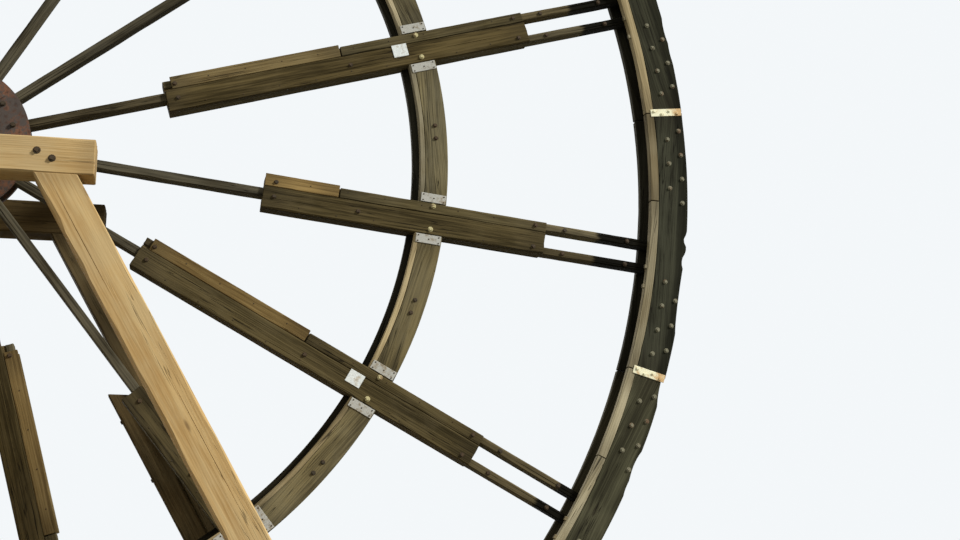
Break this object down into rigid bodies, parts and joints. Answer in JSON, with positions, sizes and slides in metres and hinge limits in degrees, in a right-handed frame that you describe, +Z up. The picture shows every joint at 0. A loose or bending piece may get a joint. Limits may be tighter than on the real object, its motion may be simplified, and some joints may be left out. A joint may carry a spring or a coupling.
{
  "type": "timber water wheel on a trestle",
  "caption": "Large spoked timber water wheel, its buckets gone, with an inner ring and doubled spokes, turning on an axle between two timber A-frames.",
  "frame": {"origin": "on the ground, under the middle of the wheel and its axle", "axes": "+Z up, Y along the axle with the viewer's side at -Y, X across the wheel"},
  "size_m": [17.68, 9.2, 18.08],
  "materials": {
    "dark_timber": "weathered, dark grey-brown, sawn",
    "pale_timber": "weathered, bleached",
    "trestle_timber": "weathered, orange-brown, sawn",
    "ground_timber": "weathered, damp, sawn",
    "cast_iron": "rusty",
    "strap_iron": "pale, weathered"
  },
  "bodies": {
    "trestle": {"ground_middle": "ground_timber", "ground_left_inner": "ground_timber", "ground_right_inner": "ground_timber", "ground_left_outer": "ground_timber", "ground_right_outer": "ground_timber", "sill_front": "ground_timber", "sill_rear": "ground_timber", "leg_front_left": "trestle_timber", "leg_front_right": "trestle_timber", "leg_rear_left": "trestle_timber", "leg_rear_right": "trestle_timber", "post_front": "trestle_timber", "post_rear": "trestle_timber", "cap_beam_front": "trestle_timber", "cap_beam_rear": "trestle_timber", "collar_plank_front": "trestle_timber", "collar_plank_rear": "trestle_timber", "shore_front": "trestle_timber", "shore_rear": "trestle_timber", "bearing_front": "cast_iron", "bearing_rear": "cast_iron", "bearing_cap_front": "cast_iron", "bearing_cap_rear": "cast_iron"},
    "wheel": {"main_spokes": "dark_timber", "side_spokes": "dark_timber", "cheeks_front": "dark_timber", "cheeks_rear": "dark_timber", "ring_front": "dark_timber", "ring_rear": "dark_timber", "ring_blocks": "dark_timber", "rim_front": "dark_timber", "rim_rear": "dark_timber", "rim_blocks": "dark_timber", "packing_boards": "pale_timber", "pale_boards": "pale_timber", "rim_lining": "pale_timber", "ring_lining": "pale_timber", "axle": "cast_iron", "hub_barrel": "cast_iron", "hub_flange_front": "cast_iron", "hub_flange_rear": "cast_iron", "ring_straps_front": "strap_iron", "ring_straps_rear": "strap_iron", "rim_straps_front": "strap_iron", "rim_straps_rear": "strap_iron"}
  },
  "joints": [
    {"name": "wheel_spin", "type": "hinge", "parent": "trestle", "child": "wheel", "pos_m": [0, 0, 9.24], "axis": [0, -1, 0], "continuous": true}
  ]
}
